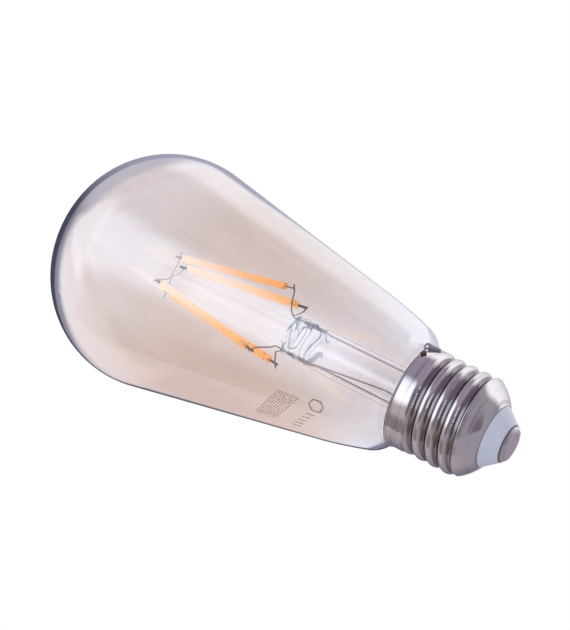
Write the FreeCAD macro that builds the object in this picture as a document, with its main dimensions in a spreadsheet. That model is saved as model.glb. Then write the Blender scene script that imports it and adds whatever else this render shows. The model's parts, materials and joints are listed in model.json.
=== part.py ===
import FreeCAD, Part
import Sketcher
import math
import os

# Smart filament lamp: ST64 bulb on an E27 screw cap.
# Frame: the lamp's axis is Z, the cap points down and the crown up.  The origin is the middle of
# the centre contact's outer face.  All sizes are millimetres, all angles degrees.

Vector = FreeCAD.Vector
UP = Vector(0, 0, 1)
ORIGIN = Vector(0, 0, 0)

doc = FreeCAD.newDocument("filament_lamp")
dims = doc.addObject("Spreadsheet::Sheet", "dims")
nodes = []

DRIVING_SIZES = {
    # glass envelope
    "total_length": 137.0,
    "bulb_radius": 32.0,
    "crown_radius": 34.48,
    "side_radius": 28.84,
    "flank_angle": 11.26,
    "flank_foot_height": 46.0,
    "hip_radius": 120.0,
    "shoulder_radius": 5.32,
    "shoulder_centre_radius": 11.79,
    "root_fillet": 0.8,
    "neck_radius": 12.2,
    "neck_end_height": 24.6,
    "glass_wall": 0.9,
    # stem, exhaust tube and pillar
    "stem_radius": 5.45,
    "stem_wall": 0.85,
    "flare_radius": 5.85,
    "flare_centre_height": 31.0,
    "tube_top_height": 56.5,
    "press_foot_height": 60.5,
    "press_top_height": 65.2,
    "press_width": 11.0,
    "press_depth": 4.6,
    "exhaust_radius": 2.5,
    "exhaust_wall": 0.75,
    "exhaust_tip_height": 25.2,
    "exhaust_tip_length": 3.0,
    "exhaust_top_height": 56.45,
    "pillar_foot_radius": 3.6,
    "pillar_top_radius": 2.4,
    "pillar_top_height": 107.4,
    # filaments
    "filament_length": 33.4,
    "coat_width": 2.0,
    "coat_depth": 1.7,
    "coat_rounding": 0.6,
    "strip_width": 1.0,
    "strip_depth": 0.4,
    "strip_inset": 1.5,
    "chip_length": 0.6,
    "chip_width": 0.5,
    "chip_depth": 0.2,
    "chip_pitch": 1.45,
    "tab_width": 0.7,
    "tab_depth": 0.25,
    "tab_reach": 2.6,
    "tab_joint": 2.2,
    "crown_joint": 1.6,
    "base_ring_radius": 11.06,
    "base_ring_height": 71.3,
    "crown_ring_radius": 5.42,
    "crown_ring_height": 104.2,
    # wires
    "lead_radius": 0.2,
    "seal_radius": 0.45,
    "seal_length": 6.2,
    "seal_top_height": 63.2,
    "seal_spacing": 4.5,
    "support_radius": 0.16,
    "wire_play": 0.02,
    "neutral_radius": 0.22,
    "live_bend_height": 6.5,
    "live_foot_offset": 1.6,
    # screw cap
    "rim_height": 27.7,
    "skirt_radius": 13.25,
    "skirt_foot_height": 24.1,
    "bead_radius": 0.25,
    "sheet_thickness": 0.3,
    "thread_pitch": 3.629,
    "thread_crest_radius": 13.1,
    "thread_round_radius": 1.025,
    "thread_phase_height": 24.3,
    "thread_fade": 1.2,
    "cone_top_height": 9.9,
    "cone_end_height": 4.95,
    "cone_end_radius": 8.15,
    "cone_bulge_radius": 14.0,
    "insulator_shoulder_height": 4.92,
    "insulator_shoulder_radius": 8.1,
    "insulator_top_height": 6.6,
    "insulator_plug_radius": 7.4,
    "contact_radius": 4.8,
    "contact_edge_height": 0.9,
    "contact_face_radius": 4.1,
    "contact_flat_radius": 3.4,
    "contact_dome_height": 0.12,
    "contact_shank_radius": 1.3,
    "contact_shank_height": 5.6,
    "cement_foot_height": 24.8,
    "cement_top_height": 27.2,
    "solder_azimuth": -24.0,
    # driver
    "board_width": 17.0,
    "board_height": 14.6,
    "board_thickness": 1.0,
    "board_foot_height": 8.4,
    "sleeve_radius": 11.3,
    "sleeve_wall": 0.25,
    "sleeve_foot_height": 10.4,
    "sleeve_top_height": 22.0,
    "module_width": 12.0,
    "module_height": 9.0,
    "module_thickness": 0.8,
    "module_gap": 2.6,
    "module_rise": 8.0,
    "package_length": 4.6,
    "package_depth": 1.5,
    "package_height": 3.9,
    "package_rise": 0.8,
    "rectifier_left": -7.0,
    "driver_chip_left": 0.6,
    "capacitor_x": -4.9,
    "capacitor_rise": 1.6,
    "capacitor_radius": 3.1,
    "capacitor_length": 9.5,
    "inductor_x": 4.6,
    "inductor_rise": 1.2,
    "inductor_radius": 3.0,
    "inductor_waist": 1.5,
    "inductor_flange": 1.0,
    "inductor_length": 7.0,
    "resistor_x": 0.0,
    "resistor_rise": 6.6,
    "resistor_radius": 1.1,
    "resistor_length": 6.2,
    "stand_off": 0.02,
}


def fill_sheet():
    """Write every driving size into the sheet, one row each, under its own alias."""
    for row, (alias, number) in enumerate(DRIVING_SIZES.items(), start=1):
        dims.set(f"A{row}", alias)
        dims.set(f"B{row}", str(number))
        dims.setAlias(f"B{row}", alias)
    doc.recompute()


def size(alias):
    """A driving size, read back from the sheet."""
    return float(dims.get(alias))


def value(expression):
    """The number that an expression on the sheet gives."""
    result = dims.evalExpression(expression)
    return float(getattr(result, "Value", result))


def polar(radius, azimuth, height):
    """A point by its distance from the lamp's axis, its bearing from +X and its height."""
    angle = math.radians(azimuth)
    return Vector(radius * math.cos(angle), radius * math.sin(angle), height)


def keep(piece):
    """Register a finished sub-part; its Label names its file."""
    nodes.append(piece)
    return piece


# ---------------------------------------------------------------- building blocks


def new_body(label):
    body = doc.addObject("PartDesign::Body", label)
    body.Label = label
    return body


def sketch_on(body, role, name, lift=None):
    """A sketch on one of the body's own origin planes, lifted by an expression if given."""
    sketch = body.newObject("Sketcher::SketchObject", name)
    plane = next(item for item in body.Origin.OriginFeatures if item.Role == role)
    sketch.AttachmentSupport = [(plane, "")]
    sketch.MapMode = "FlatFace"
    if lift:
        sketch.setExpression("AttachmentOffset.Base.z", lift)
    return sketch


def drive(sketch, kind, *references, expression):
    """A dimensional constraint whose value follows an expression on the sheet."""
    number = value(expression)
    if kind == "Angle":
        number = math.radians(number)
    index = sketch.addConstraint(Sketcher.Constraint(kind, *references, number))
    sketch.renameConstraint(index, f"size_{index}")
    sketch.setExpression(f"Constraints.size_{index}", expression)


def place_point(sketch, geometry, vertex, across, up):
    """Fix a point at two expressions measured from the sketch's origin."""
    for kind, axis, expression in (("DistanceX", -2, across), ("DistanceY", -1, up)):
        if value(expression) == 0:
            sketch.addConstraint(Sketcher.Constraint("PointOnObject", geometry, vertex, axis))
        else:
            drive(sketch, kind, -1, 1, geometry, vertex, expression=expression)


def draw_outline(sketch, corners):
    """A closed outline of straight lines; a corner is a pair of expressions on the sheet."""
    points = [Vector(value(across), value(up), 0) for across, up in corners]
    count = len(points)
    for index in range(count):
        sketch.addGeometry(Part.LineSegment(points[index], points[(index + 1) % count]))
    for index in range(count):
        following = (index + 1) % count
        sketch.addConstraint(Sketcher.Constraint("Coincident", index, 2, following, 1))
    for index, (across, up) in enumerate(corners):
        place_point(sketch, index, 1, across, up)


def revolve(body, sketch, name):
    """Turn a half outline once round the lamp's axis."""
    turned = body.newObject("PartDesign::Revolution", name)
    turned.Profile = sketch
    turned.ReferenceAxis = (sketch, ["V_Axis"])
    turned.Angle = 360
    return turned


def turned_piece(label, corners):
    """A round piece turned from a half outline of straight lines."""
    body = new_body(label)
    sketch = sketch_on(body, "XZ_Plane", f"{label}_outline")
    draw_outline(sketch, corners)
    body.Tip = revolve(body, sketch, f"{label}_turning")
    return body


def block(label, lengths, corner):
    """A rectangular piece: three edge lengths and, if given, its corner lowest in x, y and z."""
    box = doc.addObject("Part::Box", label)
    box.Label = label
    for edge, expression in zip(("Length", "Width", "Height"), lengths):
        box.setExpression(edge, expression)
    for axis, expression in zip("xyz", corner):
        box.setExpression(f"Placement.Base.{axis}", expression)
    return box


def rod(label, radius, length, foot, direction=UP):
    """A round bar from its foot along a direction."""
    bar = doc.addObject("Part::Cylinder", label)
    bar.Label = label
    bar.setExpression("Radius", radius)
    bar.setExpression("Height", length)
    bar.Placement = FreeCAD.Placement(foot, FreeCAD.Rotation(UP, direction))
    return bar


def fused(label, *members):
    union = doc.addObject("Part::MultiFuse", label)
    union.Label = label
    union.Shapes = list(members)
    return union


def cut_away(label, base, tool):
    cut = doc.addObject("Part::Cut", label)
    cut.Label = label
    cut.Base = base
    cut.Tool = tool
    return cut


def formed(label, shape, placement=None):
    """A piece whose free-form shape is worked out below from the sheet's sizes."""
    feature = doc.addObject("Part::Feature", label)
    feature.Label = label
    feature.Shape = shape
    if placement:
        feature.Placement = placement
    return feature


def wire_path(points, bend):
    """A polyline through the points with every corner rounded to the bend radius.

    A point that lies on a straight run makes no corner and is passed over.
    """
    edges = []
    start = points[0]
    for before, corner, after in zip(points, points[1:], points[2:]):
        incoming = (corner - before).normalize()
        outgoing = (after - corner).normalize()
        turn = incoming.getAngle(outgoing)
        if turn < 1e-3:
            continue
        longest = 0.45 * min((corner - before).Length, (after - corner).Length)
        setback = min(bend * math.tan(turn / 2), longest)
        radius = setback / math.tan(turn / 2)
        towards_centre = (outgoing - incoming).normalize()
        middle = corner + towards_centre * (radius / math.cos(turn / 2) - radius)
        first = corner - incoming * setback
        last = corner + outgoing * setback
        edges.append(Part.makeLine(start, first))
        edges.append(Part.Arc(first, middle, last).toShape())
        start = last
    edges.append(Part.makeLine(start, points[-1]))
    return Part.Wire(edges)


def wire_solid(points, radius, bend=1.0):
    """A round wire bent through the points."""
    path = wire_path(points, bend)
    section = Part.Wire(Part.makeCircle(radius, points[0], points[1] - points[0]))
    return path.makePipeShell([section], True, False)


# ---------------------------------------------------------------- glass


def add_envelope_chain(sketch, wall):
    """One skin of the bulb, crown to neck, as a chain of tangent arcs.

    wall is how far the skin lies inside the outer one.  Returns the index of its first arc;
    the seven items are crown, side, flank, hip, shoulder, root fillet and neck.
    """
    inset = value(wall)
    crown_r = size("crown_radius")
    side_r = size("side_radius")
    flank = math.radians(size("flank_angle"))
    hip_r = size("hip_radius")
    shoulder_r = size("shoulder_radius")
    fillet_r = size("root_fillet")

    def at(centre, radius, angle):
        return centre + Vector(math.cos(angle), math.sin(angle), 0) * radius

    # Centres of the tangent circles; every circle's normal at a joint runs through both centres.
    crown_c = Vector(0, size("total_length") - crown_r, 0)
    side_x = size("bulb_radius") - side_r
    side_c = Vector(side_x, crown_c.y + math.sqrt((crown_r - side_r) ** 2 - side_x ** 2), 0)
    crown_join = math.atan2(side_c.y - crown_c.y, side_c.x)
    flank_top = at(side_c, side_r, -flank)
    drop = flank_top.y - size("flank_foot_height")
    flank_foot = flank_top - Vector(drop * math.tan(flank), drop, 0)
    hip_c = at(flank_foot, -hip_r, -flank)
    shoulder_x = size("shoulder_centre_radius")
    hip_join = math.acos((shoulder_x - hip_c.x) / (hip_r - shoulder_r))
    shoulder_c = at(hip_c, hip_r - shoulder_r, -hip_join)
    fillet_x = size("neck_radius") + fillet_r
    reach = shoulder_r + fillet_r
    shoulder_end = -math.acos((fillet_x - shoulder_x) / reach)
    fillet_c = at(shoulder_c, reach, shoulder_end)

    def arc(centre, radius, low, high):
        return Part.ArcOfCircle(Part.Circle(centre, Vector(0, 0, 1), radius), low, high)

    neck_x = size("neck_radius") - inset
    first = sketch.addGeometry(arc(crown_c, crown_r - inset, crown_join, math.pi / 2))
    sketch.addGeometry(arc(side_c, side_r - inset, -flank, crown_join))
    inner_top = at(side_c, side_r - inset, -flank)
    inner_foot = at(hip_c, hip_r - inset, -flank)
    sketch.addGeometry(Part.LineSegment(inner_top, inner_foot))
    sketch.addGeometry(arc(hip_c, hip_r - inset, -hip_join, -flank))
    sketch.addGeometry(arc(shoulder_c, shoulder_r - inset, shoulder_end, -hip_join))
    sketch.addGeometry(arc(fillet_c, fillet_r + inset, shoulder_end + math.pi, math.pi))
    neck_top = Vector(neck_x, fillet_c.y, 0)
    neck_end = Vector(neck_x, size("neck_end_height"), 0)
    sketch.addGeometry(Part.LineSegment(neck_top, neck_end))
    return first


def constrain_envelope_chain(sketch, first, wall):
    """Tangent joints and driven radii of one skin."""
    crown, side, flank, hip, shoulder, fillet, neck = range(first, first + 7)
    for joint in (
        (crown, 1, side, 2),
        (side, 1, flank, 1),
        (flank, 2, hip, 2),
        (hip, 1, shoulder, 2),
        (fillet, 2, neck, 1),
    ):
        sketch.addConstraint(Sketcher.Constraint("Tangent", *joint))
    sketch.addConstraint(Sketcher.Constraint("Tangent", shoulder, 1, fillet, 1))
    sketch.addConstraint(Sketcher.Constraint("Vertical", neck))
    sketch.addConstraint(Sketcher.Constraint("PointOnObject", crown, 2, -2))
    for item, alias, sign in (
        (crown, "crown_radius", "-"),
        (hip, "hip_radius", "-"),
        (shoulder, "shoulder_radius", "-"),
        (fillet, "root_fillet", "+"),
    ):
        drive(sketch, "Radius", item, expression=f"dims.{alias} {sign} ({wall})")
    drive(sketch, "DistanceX", -1, 1, neck, 2, expression=f"dims.neck_radius - ({wall})")
    drive(sketch, "DistanceY", -1, 1, neck, 2, expression="dims.neck_end_height")


def make_glass_envelope():
    """The blown bulb: an even wall from the crown to the neck's fire-cut end."""
    body = new_body("glass_envelope")
    sketch = sketch_on(body, "XZ_Plane", "envelope_outline")
    outer = add_envelope_chain(sketch, "0")
    inner = add_envelope_chain(sketch, "dims.glass_wall")
    for first, wall in ((outer, "0"), (inner, "dims.glass_wall")):
        constrain_envelope_chain(sketch, first, wall)
    place_point(sketch, outer, 3, "0", "dims.total_length - dims.crown_radius")
    drive(sketch, "Radius", outer + 1, expression="dims.side_radius")
    drive(sketch, "Angle", outer + 2, expression="-90 - dims.flank_angle")
    sketch.addConstraint(Sketcher.Constraint("Parallel", outer + 2, inner + 2))
    drive(sketch, "DistanceX", -1, 1, outer + 1, 3, expression="dims.bulb_radius - dims.side_radius")
    drive(sketch, "DistanceY", -1, 1, outer + 2, 2, expression="dims.flank_foot_height")
    drive(sketch, "DistanceX", -1, 1, outer + 4, 3, expression="dims.shoulder_centre_radius")
    for offset in (0, 1):
        centres = (inner + offset, 3, outer + offset, 3)
        sketch.addConstraint(Sketcher.Constraint("Coincident", *centres))
    for offset in (3, 4):
        centres = (inner + offset, 3, outer + offset, 3)
        sketch.addConstraint(Sketcher.Constraint("Horizontal", *centres))
    for chain_item, vertex in ((0, 2), (6, 2)):
        ends = (outer + chain_item, vertex), (inner + chain_item, vertex)
        points = [sketch.getPoint(*end) for end in ends]
        closing = sketch.addGeometry(Part.LineSegment(*points))
        for tip, end in enumerate(ends, start=1):
            sketch.addConstraint(Sketcher.Constraint("Coincident", closing, tip, *end))
    body.Tip = revolve(body, sketch, "envelope_turning")
    return body


def make_stem_blank():
    """Flare, tube and flattened press, before the wire channels are cut."""
    body = new_body("stem_blank")
    sketch = sketch_on(body, "XZ_Plane", "stem_outline")
    radius = size("stem_radius")
    bore = radius - size("stem_wall")
    bell = size("flare_radius")
    centre = Vector(radius + bell, size("flare_centre_height"), 0)
    thick = bell + size("stem_wall")
    top = size("tube_top_height")

    def bell_arc(reach):
        circle = Part.Circle(centre, Vector(0, 0, 1), reach)
        return Part.ArcOfCircle(circle, math.pi, 1.5 * math.pi)

    sketch.addGeometry(bell_arc(bell))
    sketch.addGeometry(bell_arc(thick))
    inner_lip = centre - Vector(0, thick, 0)
    outer_lip = centre - Vector(0, bell, 0)
    sketch.addGeometry(Part.LineSegment(inner_lip, outer_lip))
    sketch.addGeometry(Part.LineSegment(Vector(radius, centre.y, 0), Vector(radius, top, 0)))
    sketch.addGeometry(Part.LineSegment(Vector(radius, top, 0), Vector(bore, top, 0)))
    sketch.addGeometry(Part.LineSegment(Vector(bore, top, 0), Vector(bore, centre.y, 0)))
    for joint in ((1, 2, 2, 1), (2, 2, 0, 2), (3, 2, 4, 1), (4, 2, 5, 1)):
        sketch.addConstraint(Sketcher.Constraint("Coincident", *joint))
    for joint in ((0, 1, 3, 1), (1, 1, 5, 2)):
        sketch.addConstraint(Sketcher.Constraint("Tangent", *joint))
    sketch.addConstraint(Sketcher.Constraint("Coincident", 0, 3, 1, 3))
    for line in (2, 3):
        sketch.addConstraint(Sketcher.Constraint("Vertical", line))
    sketch.addConstraint(Sketcher.Constraint("Horizontal", 4))
    drive(sketch, "Radius", 0, expression="dims.flare_radius")
    drive(sketch, "Radius", 1, expression="dims.flare_radius + dims.stem_wall")
    place_point(sketch, 0, 3, "dims.stem_radius + dims.flare_radius", "dims.flare_centre_height")
    drive(sketch, "DistanceY", -1, 1, 3, 2, expression="dims.tube_top_height")
    body.Tip = revolve(body, sketch, "stem_turning")

    tube_end = sketch_on(body, "XY_Plane", "tube_end", lift="dims.tube_top_height")
    tube_end.addGeometry(Part.Circle(ORIGIN, UP, radius))
    tube_end.addConstraint(Sketcher.Constraint("Coincident", 0, 3, -1, 1))
    drive(tube_end, "Radius", 0, expression="dims.stem_radius")
    press_foot = sketch_on(body, "XY_Plane", "press_foot", lift="dims.press_foot_height")
    draw_stadium(press_foot)
    press_top = sketch_on(body, "XY_Plane", "press_top", lift="dims.press_foot_height")
    draw_stadium(press_top)
    doc.recompute()
    squeeze = body.newObject("PartDesign::AdditiveLoft", "press_squeeze")
    squeeze.Profile = tube_end
    squeeze.Sections = [press_foot]
    body.Tip = squeeze
    press = body.newObject("PartDesign::Pad", "press_block")
    press.Profile = press_top
    press.setExpression("Length", "dims.press_top_height - dims.press_foot_height")
    body.Tip = press
    return body


def draw_stadium(sketch):
    """The press's section: a flat bar with half-round edges, wide along x."""
    half = value("dims.press_depth / 2")
    reach = value("(dims.press_width - dims.press_depth) / 2")
    right = Part.Circle(Vector(reach, 0, 0), UP, half)
    left = Part.Circle(Vector(-reach, 0, 0), UP, half)
    sketch.addGeometry(Part.ArcOfCircle(right, -math.pi / 2, math.pi / 2))
    sketch.addGeometry(Part.LineSegment(Vector(reach, half, 0), Vector(-reach, half, 0)))
    sketch.addGeometry(Part.ArcOfCircle(left, math.pi / 2, 1.5 * math.pi))
    sketch.addGeometry(Part.LineSegment(Vector(-reach, -half, 0), Vector(reach, -half, 0)))
    for index in range(4):
        joint = (index, 2, (index + 1) % 4, 1)
        sketch.addConstraint(Sketcher.Constraint("Tangent", *joint))
    place_point(sketch, 0, 3, "(dims.press_width - dims.press_depth) / 2", "0")
    drive(sketch, "DistanceX", -1, 1, 2, 3, expression="(dims.press_depth - dims.press_width) / 2")
    drive(sketch, "Radius", 0, expression="dims.press_depth / 2")


def make_exhaust_tube():
    """The thin pumping tube inside the stem, sealed to a closed tip at the cap end."""
    radius = "dims.exhaust_radius"
    bore = "dims.exhaust_radius - dims.exhaust_wall"
    tip = "dims.exhaust_tip_height"
    top = "dims.exhaust_top_height"
    return turned_piece("exhaust_tube", (
        ("0", tip),
        (radius, f"{tip} + dims.exhaust_tip_length"),
        (radius, top),
        (bore, top),
        (bore, f"{tip} + dims.exhaust_tip_length + dims.exhaust_wall / 2"),
        ("0", f"{tip} + 2 * dims.exhaust_wall"),
    ))


def make_pillar_blank():
    """The glass post above the press, slightly tapered, its end fired to a dome."""
    body = turned_piece("pillar_blank", (
        ("0", "dims.press_top_height"),
        ("dims.pillar_foot_radius", "dims.press_top_height"),
        ("dims.pillar_top_radius", "dims.pillar_top_height"),
        ("0", "dims.pillar_top_height"),
    ))
    doc.recompute()
    turning = body.Tip
    edge = edge_at(turning.Shape, size("pillar_top_height"), size("pillar_top_radius"))
    rounding = body.newObject("PartDesign::Fillet", "pillar_end_rounding")
    rounding.Base = (turning, [edge])
    rounding.setExpression("Radius", "dims.pillar_top_radius * 0.8")
    body.Tip = rounding
    return body


def edge_at(shape, height, radius):
    """The name of the circular edge at a height with a radius."""
    for index, edge in enumerate(shape.Edges, start=1):
        curve = getattr(edge, "Curve", None)
        if isinstance(curve, Part.Circle) and abs(curve.Center.z - height) < 1e-4:
            if abs(curve.Radius - radius) < 1e-4:
                return f"Edge{index}"
    raise ValueError(f"no circular edge at height {height}")


# ---------------------------------------------------------------- filaments

# Bearings of the four filaments' lower and upper ends, in order round the lamp.
BASE_BEARINGS = (-17.0, 45.0, 139.0, 226.0)
CROWN_BEARINGS = (-3.0, 51.0, 152.0, 232.0)
CHIP_COUNT = 20

# A filament's strip: its edge lengths and lowest corner in the filament's own frame.
STRIP_LENGTHS = ("dims.strip_depth", "dims.strip_width", "dims.filament_length - 2 * dims.strip_inset")
STRIP_CORNER = ("-dims.strip_depth / 2", "-dims.strip_width / 2", "dims.strip_inset")


def filament_placement(index):
    """Local z runs up a filament from its lower end; local x faces away from the axis."""
    base = polar(size("base_ring_radius"), BASE_BEARINGS[index], size("base_ring_height"))
    crown = polar(size("crown_ring_radius"), CROWN_BEARINGS[index], size("crown_ring_height"))
    along = (crown - base).normalize()
    outward = polar(1, BASE_BEARINGS[index], 0)
    outward = (outward - along * outward.dot(along)).normalize()
    sideways = along.cross(outward)
    return FreeCAD.Placement(base, FreeCAD.Rotation(outward, sideways, along, "ZXY"))


def chip_row():
    """The row of LED chips on one strip, in the filament's own frame."""
    length, width, depth = size("chip_length"), size("chip_width"), size("chip_depth")
    pitch = size("chip_pitch")
    first = (size("filament_length") - (CHIP_COUNT - 1) * pitch - length) / 2
    foot = size("strip_depth") / 2
    chips = []
    for place in range(CHIP_COUNT):
        corner = Vector(foot, -width / 2, first + place * pitch)
        chips.append(Part.makeBox(depth, width, length, corner))
    return Part.makeCompound(chips)


def tab_corners():
    """Lowest corners of a filament's two end tabs, as expressions in its own frame."""
    low = "-dims.tab_reach"
    high = "dims.filament_length - dims.strip_inset"
    return low, high


def make_filament_tools():
    """What the silicone coat is moulded round: strip, chips and both tabs."""
    strip = block("strip_tool", STRIP_LENGTHS, STRIP_CORNER)
    tabs = []
    for name, foot in zip(("low_tab_tool", "high_tab_tool"), tab_corners()):
        tabs.append(block(
            name,
            ("dims.tab_depth", "dims.tab_width", "dims.tab_reach + dims.strip_inset"),
            ("-dims.tab_depth / 2", "-dims.tab_width / 2", foot),
        ))
    chips = formed("chip_tool", chip_row())
    return fused("coat_cavity", strip, chips, *tabs)


def make_coat_blank():
    """The coat before its cavity: a soft-edged bar as long as the filament."""
    bar = block(
        "coat_bar",
        ("dims.coat_depth", "dims.coat_width", "dims.filament_length"),
        ("-dims.coat_depth / 2", "-dims.coat_width / 2", "0"),
    )
    doc.recompute()
    rounding = size("coat_rounding")
    long_edges = [
        (index, rounding, rounding)
        for index, edge in enumerate(bar.Shape.Edges, start=1)
        if abs(edge.Length - size("filament_length")) < 1e-6
    ]
    fillet = doc.addObject("Part::Fillet", "coat_blank")
    fillet.Base = bar
    fillet.Edges = long_edges
    return fillet


def make_filaments():
    """Four filaments: each a strip with a row of chips in a phosphor silicone coat."""
    blank = make_coat_blank()
    cavity = make_filament_tools()
    doc.recompute()
    for index in range(len(BASE_BEARINGS)):
        placement = filament_placement(index)
        name = f"filament_{index + 1}"
        coat = cut_away(f"{name}_phosphor_coat", blank, cavity)
        coat.Placement = placement
        keep(coat)
        strip = keep(block(f"{name}_strip", STRIP_LENGTHS, ()))
        shift = Vector(*(value(offset) for offset in STRIP_CORNER))
        strip.Placement = placement * FreeCAD.Placement(shift, FreeCAD.Rotation())
        keep(formed(f"{name}_led_chips", chip_row(), placement))
    keep(formed("filament_end_tabs", end_tabs()))


def end_tabs():
    """The eight flat nickel tabs, one at each end of each filament."""
    tabs = []
    depth, width = size("tab_depth"), size("tab_width")
    length = size("tab_reach") + size("strip_inset")
    for index in range(len(BASE_BEARINGS)):
        for foot in tab_corners():
            corner = Vector(-depth / 2, -width / 2, value(foot))
            tab = Part.makeBox(depth, width, length, corner)
            tab.Placement = filament_placement(index)
            tabs.append(tab)
    return Part.makeCompound(tabs)


# ---------------------------------------------------------------- lead and support wires


def tab_side(index, wire_radius, along):
    """The centre of a wire laid against the long edge of a filament's tab."""
    offset = size("tab_width") / 2 + wire_radius + size("wire_play")
    return filament_placement(index).multVec(Vector(0, offset, along))


# The three press seals: their side along x and their step along y.
SEALS = {"common": (1, 0.0), "warm": (-1, 1.1), "cool": (-1, -1.1)}


def seal_top(side, row):
    """The top of a press seal: side is -1 or 1 along x, row steps it along y."""
    return Vector(side * size("seal_spacing"), row, size("seal_top_height"))


def lead_points():
    """Bend points of the inner leads, from the filament's tab down into the press."""
    lead = size("lead_radius")
    joint = -size("tab_joint")
    first, third, fourth = (tab_side(index, lead, joint) for index in (0, 2, 3))
    seal_gap = UP * size("wire_play")
    common_seal, warm_seal, cool_seal = (seal_top(*SEALS[name]) + seal_gap for name in SEALS)
    return {
        "common_lead": [
            first + Vector(0.9, -0.3, 0.4),
            first - Vector(0.9, -0.3, 0.4),
            Vector(8.0, -2.6, 68.2),
            Vector(5.6, -1.6, 67.6),
            Vector(4.2, -0.9, 66.4),
            common_seal + UP * 1.4,
            common_seal,
        ],
        "warm_channel_lead": [
            third + Vector(-0.7, 0.6, -0.2),
            third - Vector(-0.7, 0.6, -0.2),
            Vector(-5.7, 3.4, 68.9),
            Vector(-4.7, 2.4, 67.0),
            warm_seal + UP * 2.4,
            warm_seal,
        ],
        "cool_channel_lead": [
            fourth + Vector(-0.8, -0.8, 0.3),
            fourth - Vector(-0.8, -0.8, 0.3),
            Vector(-5.2, -4.6, 66.9),
            Vector(-4.2, -3.0, 66.3),
            cool_seal + UP * 1.6,
            cool_seal,
        ],
    }


def branch_points():
    """The short branch that brings the second filament onto the common lead."""
    joint = tab_side(1, size("lead_radius"), -size("tab_joint"))
    play = 2 * size("lead_radius") + size("wire_play")
    return [
        joint + Vector(0.7, 0.7, 0.1),
        joint - Vector(1.1, 1.1, 0.2),
        Vector(4.9, 1.0, 67.4),
        Vector(4.9, -0.9 + play, 67.4 - 0.4),
    ]


def outer_lead_points(side, row, drift, foot):
    """An outer lead drops from its seal through the stem's bore, close to the wall.

    drift turns it round the exhaust tube on the way down.
    """
    top = seal_top(side, row) - UP * (size("seal_length") + size("wire_play"))
    clear = size("stem_radius") - size("stem_wall") - size("lead_radius") - 0.15
    bearing = math.degrees(math.atan2(row, side * size("seal_spacing")))
    return [
        top,
        top - UP * 0.6,
        polar(clear, bearing, top.z - 1.6),
        polar(clear, bearing + drift, size("exhaust_tip_height") + 9.0),
        polar(clear, bearing + drift, size("exhaust_tip_height") + 1.2),
        foot,
    ]


def press_seals():
    """The three thicker seal wires that carry the leads through the press glass."""
    seals = []
    for side, row in SEALS.values():
        foot = seal_top(side, row) - UP * size("seal_length")
        seals.append(Part.makeCylinder(size("seal_radius"), size("seal_length"), foot))
    return Part.makeCompound(seals)


def support_points(left, right, height):
    """A crown wire: from one filament's upper tab through the pillar to another's."""
    along = size("filament_length") + size("crown_joint")
    ends = []
    for index in (left, right):
        tip = tab_side(index, size("support_radius") + 2 * size("wire_play"), along)
        bearing = math.degrees(math.atan2(tip.y, tip.x))
        ends.append([tip + polar(1.5, bearing, 0.4), tip, polar(3.1, bearing, height)])
    return ends[0] + [polar(0, 0, height)] + ends[1][::-1]


def make_wires_and_stem_glass():
    """Leads, seals and crown wires, then the stem and pillar glass moulded round them."""
    lead = size("lead_radius")
    play = size("wire_play")
    leads = lead_points()
    for name, points in leads.items():
        keep(formed(name, wire_solid(points, lead)))
    keep(formed("common_lead_branch", wire_solid(branch_points(), lead)))
    keep(formed("press_seal_wires", press_seals()))
    supports = {
        "warm_crown_wire": support_points(0, 2, size("pillar_top_height") - 1.9),
        "cool_crown_wire": support_points(1, 3, size("pillar_top_height") - 2.7),
    }
    for name, points in supports.items():
        keep(formed(name, wire_solid(points, size("support_radius"), 0.5)))

    tubes = [wire_solid(points, lead + play) for points in leads.values()]
    for side, row in SEALS.values():
        foot = seal_top(side, row) - UP * (size("seal_length") + 2)
        tubes.append(Part.makeCylinder(size("seal_radius") + play, size("seal_length") + 2 + play, foot))
    channels = formed("press_channels", Part.makeCompound(tubes))
    holes = [wire_solid(points, size("support_radius") + play, 0.5) for points in supports.values()]
    drilled = formed("pillar_channels", Part.makeCompound(holes))
    keep(cut_away("stem_tube", make_stem_blank(), channels))
    keep(cut_away("glass_pillar", make_pillar_blank(), drilled))


# ---------------------------------------------------------------- screw cap


# How far the rolled rim's bead stands outside the skirt, before its own rounding.
BEAD_OVERHANG = 0.05


def thread_radius(distance, inset):
    """Radius of the rolled thread at a distance along the axis from a crest.

    Crest and root are arcs of equal radius that meet on a common tangent, and inset moves
    the whole outline in along its normal.
    """
    pitch = size("thread_pitch")
    rounding = size("thread_round_radius")
    crest = size("thread_crest_radius")
    steepest = math.asin(pitch / (4 * rounding))
    depth = 2 * rounding * (1 - math.cos(steepest))
    distance = abs((distance + pitch / 2) % pitch - pitch / 2)
    crest_reach = (rounding - inset) * math.sin(steepest)
    if distance <= crest_reach:
        return crest - rounding + math.sqrt((rounding - inset) ** 2 - distance ** 2)
    from_root = pitch / 2 - distance
    return crest - depth + rounding - math.sqrt((rounding + inset) ** 2 - from_root ** 2)


def cone_radius(height, inset):
    """The closing cone under the thread, bulged outwards by a shallow arc."""
    foot = size("cone_end_height")
    foot_r = size("cone_end_radius")
    top = size("cone_top_height")
    top_r = size("thread_crest_radius")
    half_chord = math.hypot(top - foot, top_r - foot_r) / 2
    bulge = size("cone_bulge_radius")
    back = math.sqrt(bulge ** 2 - half_chord ** 2)
    slope = math.atan2(top - foot, top_r - foot_r)
    centre_r = (foot_r + top_r) / 2 - back * math.sin(slope)
    centre_z = (foot + top) / 2 + back * math.cos(slope)
    reach = bulge - inset
    below_centre = min(height - centre_z, 0)
    return centre_r + math.sqrt(reach ** 2 - below_centre ** 2)


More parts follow.
